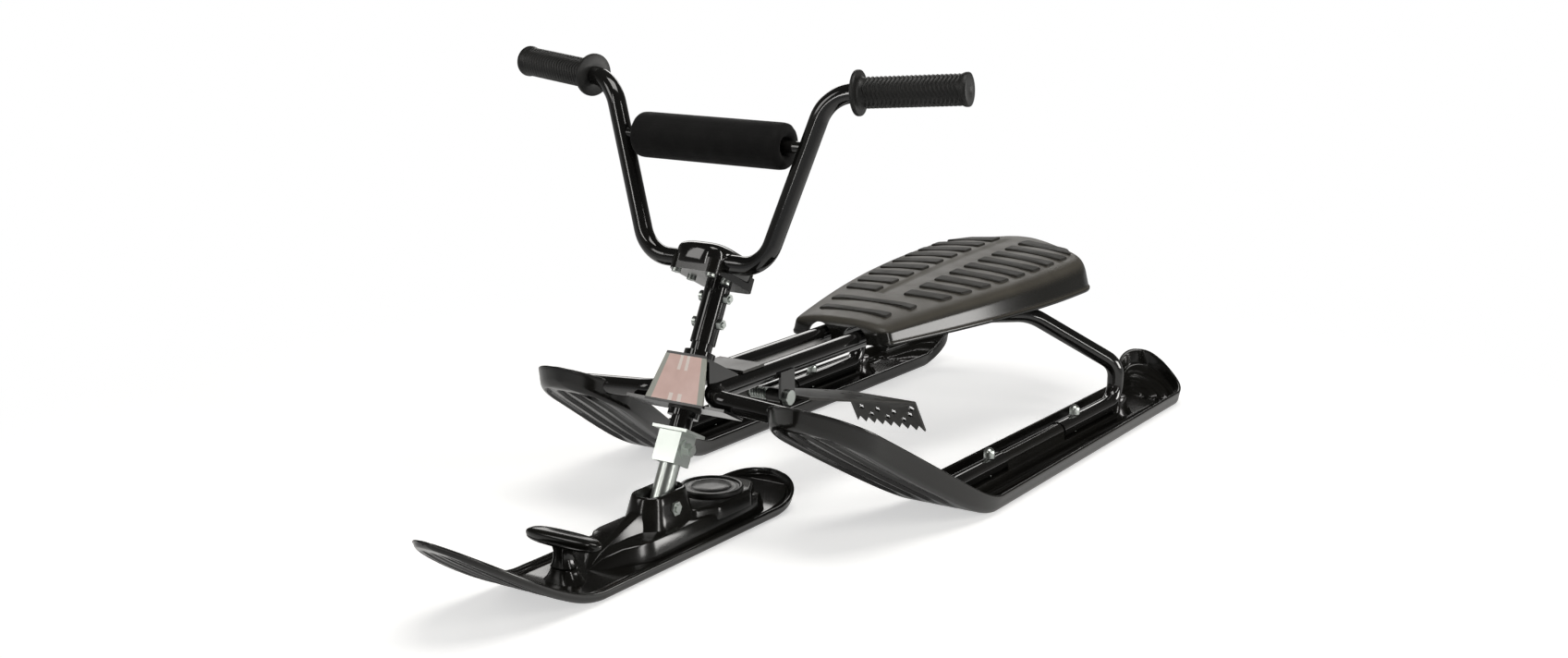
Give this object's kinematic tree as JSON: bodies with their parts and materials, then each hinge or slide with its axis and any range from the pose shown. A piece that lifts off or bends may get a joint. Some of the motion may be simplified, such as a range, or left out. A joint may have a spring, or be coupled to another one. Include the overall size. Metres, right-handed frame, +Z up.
{
  "type": "steering sled",
  "caption": "Steering sled: bent tube frame on upturned plastic skis, moulded seat, raked column with handlebar over a pitching front ski, foot brake and tow reel.",
  "frame": {"origin": "on the snow, in the middle of the length and width", "axes": "+X forward to the front ski's tip, +Y to the rider's left, +Z up"},
  "size_m": [1.1613, 0.543, 0.4724],
  "materials": {
    "painted_steel": "gloss black paint",
    "shield_paint": "satin pale red with plain stripes",
    "grey_steel": "satin dark grey",
    "gloss_plastic": "moulded, gloss black",
    "inner_plastic": "moulded, matte",
    "tread_plastic": "fine grain, matte",
    "zinc": "bright zinc plate",
    "grip_rubber": "ribbed, matte",
    "pad_foam": "closed-cell foam, matte"
  },
  "bodies": {
    "frame": {"left_frame_tube": "painted_steel", "right_frame_tube": "painted_steel", "head_bracket": "painted_steel", "left_brake_bracket": "painted_steel", "right_brake_bracket": "painted_steel", "head_shield": "shield_paint", "head_gusset": "grey_steel", "spine_plate": "grey_steel", "front_seat_strap": "grey_steel", "rear_seat_strap": "grey_steel", "left_rear_ski": "gloss_plastic", "right_rear_ski": "gloss_plastic", "seat_shell": "gloss_plastic", "upper_head_bush": "inner_plastic", "lower_head_bush": "inner_plastic", "seat_treads": "tread_plastic", "ski_bolts": "zinc", "ski_nuts": "zinc", "seat_screws": "zinc", "brake_shaft": "zinc", "brake_clips": "zinc", "brake_spring": "zinc"},
    "steering": {"steering_column": "painted_steel", "upper_column_collar": "painted_steel", "lower_column_collar": "painted_steel", "handlebar_stem": "painted_steel", "stem_bolts": "zinc", "stem_nuts": "zinc", "clamp_base": "gloss_plastic", "clamp_cap": "gloss_plastic", "clamp_screws": "zinc", "handlebar": "painted_steel", "crossbar": "painted_steel", "crossbar_pad": "pad_foam", "left_grip": "grip_rubber", "right_grip": "grip_rubber", "strut_bracket": "zinc", "strut_bolt": "zinc", "strut_washers": "zinc", "strut_nut": "zinc", "ski_strut": "zinc"},
    "front_ski_body": {"front_ski": "gloss_plastic", "ski_pivot_bolt": "zinc", "ski_pivot_nut": "zinc", "reel_cover": "gloss_plastic", "reel_axle": "zinc", "cord_eyelet": "zinc", "reel_spring": "zinc"},
    "reel": {"reel_spool": "inner_plastic"},
    "handle": {"tow_handle": "gloss_plastic"},
    "brake": {"brake_plate": "grey_steel"}
  },
  "joints": [
    {"name": "steering", "type": "hinge", "parent": "frame", "child": "steering", "pos_m": [0.278, 0, 0], "axis": [-0.454, 0, 0.891], "range_deg": [-25, 25]},
    {"name": "ski_pitch", "type": "hinge", "parent": "steering", "child": "front_ski_body", "pos_m": [0.25666, 0, 0.04188], "axis": [0, 1, 0], "range_deg": [-8, 8]},
    {"name": "brake_pedal", "type": "hinge", "parent": "frame", "child": "brake", "pos_m": [0.08, 0, 0.118], "axis": [0, -1, 0], "range_deg": [0, 7], "stiffness_Nm_per_rad": 2.5, "springref_deg": -34.38, "deforming": ["brake_spring"]},
    {"name": "handle_pull", "type": "slide", "parent": "front_ski_body", "child": "handle", "axis": [0, 0, 1], "range_m": [0, 0.06], "stiffness_N_per_m": 30, "springref_m": -0.01},
    {"name": "spool_turn", "type": "hinge", "parent": "front_ski_body", "child": "reel", "pos_m": [0.168, 0, 0.017], "axis": [0, 0, 1], "range_deg": [0, 235], "deforming": ["reel_spring"]}
  ],
  "couplings": [
    {"joint": "spool_turn", "follows": "handle_pull", "rad_per_m": 66.667}
  ]
}
